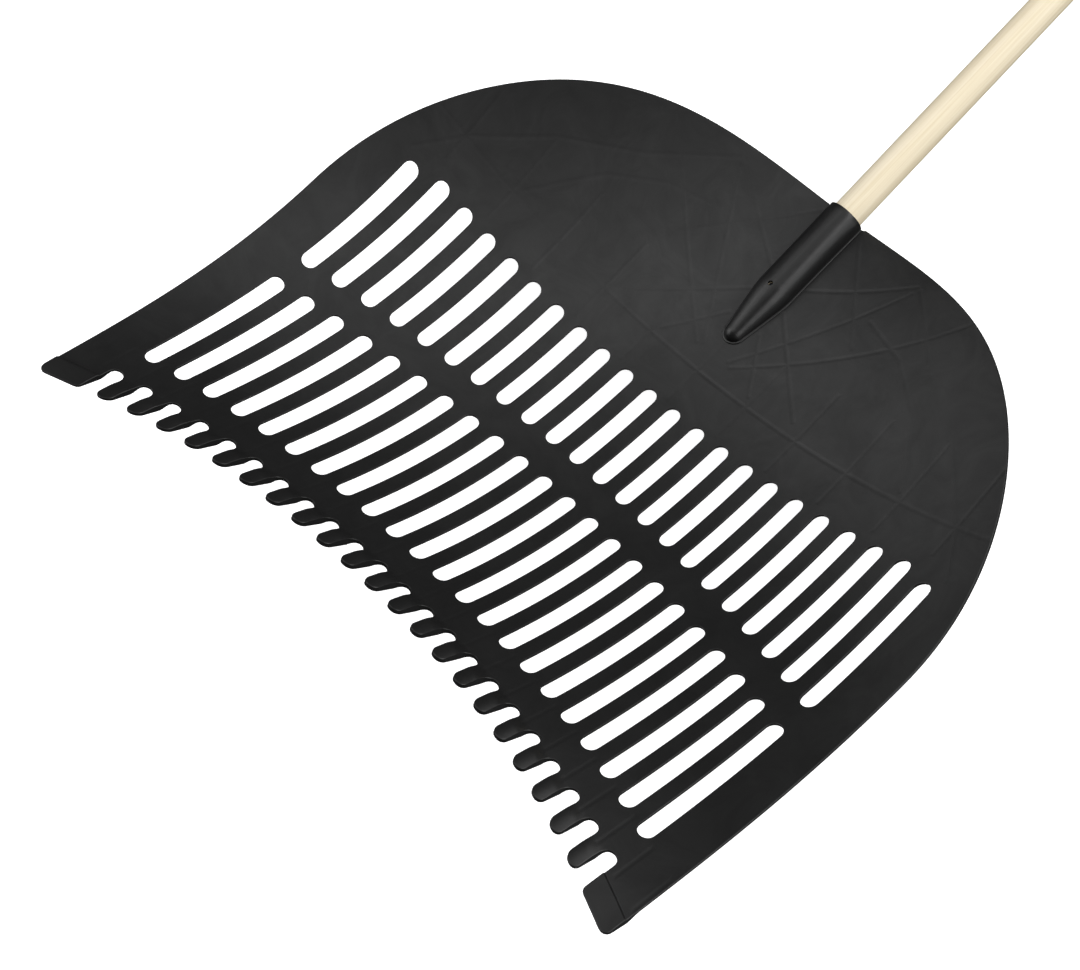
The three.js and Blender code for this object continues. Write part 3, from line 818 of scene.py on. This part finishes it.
gloss = add_node(tree, "ShaderNodeMapRange", links={
    "Value": flow.outputs[0], "From Min": 0.3, "From Max": 0.7, "To Min": 0.31, "To Max": 0.38})
tree.links.new(gloss.outputs[0], shader.inputs["Roughness"])
streaks = add_node(tree, "ShaderNodeTexNoise", links={
    "Vector": object_place, "Scale": 1 / (45 * MM), "Detail": 4.0, "Roughness": 0.65,
    "Distortion": 1.2})
sheen = add_node(tree, "ShaderNodeMapRange", links={
    "Value": streaks.outputs[0], "From Min": 0.3, "From Max": 0.7, "To Min": 0.42, "To Max": 0.56})
tree.links.new(sheen.outputs[0], shader.inputs["Specular IOR Level"])
grit = add_node(tree, "ShaderNodeTexNoise", links={
    "Vector": object_place, "Scale": 1 / (0.8 * MM), "Detail": 2.0})
grit_bump = add_node(tree, "ShaderNodeBump", links={
    "Height": grit.outputs[0], "Distance": 0.02 * MM, "Strength": 0.6,
    "Normal": sink_bump.outputs[0]})
tree.links.new(grit_bump.outputs[0], shader.inputs["Normal"])
blade.data.materials.append(blade_plastic)
ribs.data.materials.append(blade_plastic)
print("blade plastic:", len(tree.nodes), "nodes")

# %% [markdown]
# ### Smoother polypropylene
# The socket is moulded in the same plastic against polished steel, so it is glossier, with a
# barely uneven skin that makes its highlight waver.

# %% Socket plastic
socket_plastic, tree, shader = new_material("semi_gloss_moulded_polypropylene", "#0e0e0e", 0.34)
object_place = add_node(tree, "ShaderNodeTexCoord").outputs["Object"]
skin = add_node(tree, "ShaderNodeTexNoise", links={
    "Vector": object_place, "Scale": 1 / (6 * MM), "Detail": 2.0})
skin_bump = add_node(tree, "ShaderNodeBump", links={
    "Height": skin.outputs[0], "Distance": 0.02 * MM, "Strength": 0.5})
gloss = add_node(tree, "ShaderNodeMapRange", links={
    "Value": skin.outputs[0], "From Min": 0.3, "From Max": 0.7, "To Min": 0.31, "To Max": 0.37})
tree.links.new(skin_bump.outputs[0], shader.inputs["Normal"])
tree.links.new(gloss.outputs[0], shader.inputs["Roughness"])
tube.data.materials.append(socket_plastic)
foot_piece.data.materials.append(socket_plastic)
print("socket plastic:", len(tree.nodes), "nodes")

# %% [markdown]
# ### Turned pale wood
# The stick is an unvarnished softwood or ash dowel, sanded smooth. Its grain is a pattern about a
# millimetre wide and hundreds long, so noise is stretched along the axis. Under it lie slow changes
# of tint, and fine pores that take the light.

# %% Wood
pale_wood, tree, shader = new_material("turned_pale_wood", "#e3d7bf", 0.62)
object_place = add_node(tree, "ShaderNodeTexCoord").outputs["Object"]
stretched = add_node(tree, "ShaderNodeMapping", links={
    "Vector": object_place, "Scale": (1, 0.012, 1)}).outputs[0]
grain = add_node(tree, "ShaderNodeTexNoise", links={
    "Vector": stretched, "Scale": 1 / (2.2 * MM), "Detail": 4.0, "Roughness": 0.65})
bands = add_node(tree, "ShaderNodeTexNoise", links={
    "Vector": stretched, "Scale": 1 / (9 * MM), "Detail": 1.0})
tint = add_node(tree, "ShaderNodeMath", {"operation": "MULTIPLY_ADD"}, {
    0: bands.outputs[0], 1: 0.5, 2: grain.outputs[0]})
ramp = add_node(tree, "ShaderNodeValToRGB", links={0: tint.outputs[0]})
ramp.color_ramp.elements[0].position = 0.55
ramp.color_ramp.elements[0].color = linear("#e8d8b6")
ramp.color_ramp.elements[1].position = 0.95
ramp.color_ramp.elements[1].color = linear("#faeed4")
tree.links.new(ramp.outputs[0], shader.inputs["Base Color"])
pores = add_node(tree, "ShaderNodeBump", links={
    "Height": grain.outputs[0], "Distance": 0.08 * MM, "Strength": 0.5})
tree.links.new(pores.outputs[0], shader.inputs["Normal"])
stick.data.materials.append(pale_wood)
print("wood:", len(tree.nodes), "nodes")

# %% [markdown]
# ### Zinc-coated steel
# Only the head of the pin shows, deep in its hole. It is cut from wire and has gone dull and dark.

# %% Pin steel
pin_steel, tree, shader = new_material("zinc_coated_steel", "#3c3d40", 0.5)
shader.inputs["Metallic"].default_value = 1.0
object_place = add_node(tree, "ShaderNodeTexCoord").outputs["Object"]
drawn = add_node(tree, "ShaderNodeTexNoise", links={
    "Vector": object_place, "Scale": 1 / (0.5 * MM), "Detail": 2.0})
wear = add_node(tree, "ShaderNodeMapRange", links={
    "Value": drawn.outputs[0], "To Min": 0.34, "To Max": 0.5})
tree.links.new(wear.outputs[0], shader.inputs["Roughness"])
pin = bpy.data.objects["fixing_pin"]
pin.data.materials.clear()
pin.data.materials.append(pin_steel)

# %% [markdown]
# ## Floor and light
# A product is photographed on a lit white sweep, where hardly any shadow is left. The floor is
# white and gives off its own light. Black plastic shows what it reflects, so the softboxes are
# placed by that, as patches of a dome. Those overhead and at the left light the rear plate, and the
# strong ones at the right and the rear right draw the socket's highlight and the light lines along
# the edges. Nothing stands low between the left and the rear, and the slotted front, which
# reflects that gap, stays darkest.

# %% Floor
floor_material, tree, shader = new_material("lit_white_floor", "#f6f6f6", 0.9)
shader.inputs["Emission Color"].default_value = (1, 1, 1, 1)
shader.inputs["Emission Strength"].default_value = 0.9
sweep_turn = np.radians(np.linspace(0, 90, 13))
SWEEP_FLAT, SWEEP_R, SWEEP_TOP = 7000, 2500, 8000
sweep = [(0, 1)] + list(zip(SWEEP_R * (1 - np.cos(sweep_turn)),
                            SWEEP_FLAT + SWEEP_R * np.sin(sweep_turn)))
sweep += [(SWEEP_TOP, SWEEP_FLAT + SWEEP_R)]
sweep_points, sweep_faces = swept_round(sweep, 48)
sweep_points = (sweep_points - [0, AXIS_Y, AXIS_Z])[:, [0, 2, 1]] + [0, 0, cad_low.z / MM]
floor = add_piece("floor", sweep_points, [face[::-1] for face in sweep_faces[:-1]])
floor.data.materials.append(floor_material)
floor.visible_diffuse = False
floor.visible_glossy = False
floor.visible_shadow = False

# %% Light
world = bpy.data.worlds.new("studio")
world.use_nodes = True
world.node_tree.nodes["Background"].inputs["Color"].default_value = (1, 1, 1, 1)
world.node_tree.nodes["Background"].inputs["Strength"].default_value = 0.095
bpy.context.scene.world = world
BLADE_MIDDLE = np.array([0, -0.6, 0.06])


def softbox(name, azimuth, elevation, distance, width, height, radiance):
    """An area light that faces the blade. Its power is pi times its area times its radiance."""
    data = bpy.data.lights.new(name, "AREA")
    data.shape = "RECTANGLE"
    data.size, data.size_y = width, height
    data.energy = math.pi * width * height * radiance
    az, el = math.radians(azimuth), math.radians(elevation)
    back = np.array([math.sin(az) * math.cos(el), math.cos(az) * math.cos(el), math.sin(el)])
    right = np.array([math.cos(az), -math.sin(az), 0]) * -1
    box = np.eye(4)
    box[:3, :3] = np.array([right, np.cross(back, right), back]).T
    box[:3, 3] = BLADE_MIDDLE + back * distance
    light = bpy.data.objects.new(name, data)
    bpy.context.scene.collection.objects.link(light)
    light.matrix_world = Matrix(box.tolist())
    light.visible_camera = False
    print(name, "at", np.round(box[:3, 3], 2))
    return light


softbox("overhead_softbox", 0, 84, 2.6, 1.7, 1.7, 0.54)
softbox("upper_left_softbox", -90, 62, 2.6, 1.7, 1.7, 1.41)
softbox("left_softbox", -96, 34, 2.6, 1.5, 1.5, 0.84)
softbox("front_left_softbox", -125, 38, 2.6, 1.5, 1.5, 1.8)
softbox("upper_rear_softbox", 0, 54, 2.6, 1.9, 1.5, 0.65)
softbox("rear_softbox", 8, 26, 2.6, 1.9, 1.4, 1.28)
softbox("rear_right_softbox", 40, 36, 2.6, 1.5, 1.5, 3.8)
softbox("right_softbox", 86, 32, 2.6, 1.5, 1.5, 2.1)
softbox("low_right_softbox", 86, 2, 2.6, 1.5, 1.5, 1.9)
bpy.context.scene.view_settings.view_transform = "Standard"

# %% Hand the pieces over
for piece, slot_name, nodes in (
    (blade, "blade_plastic", ["blade"]),
    (ribs, "blade_plastic", ["blade"]),
    (tube, "socket_plastic", ["handle_socket"]),
    (foot_piece, "socket_plastic", ["handle_socket"]),
    (stick, "handle_wood", ["handle"]),
):
    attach(piece, "root")
    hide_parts(*nodes)
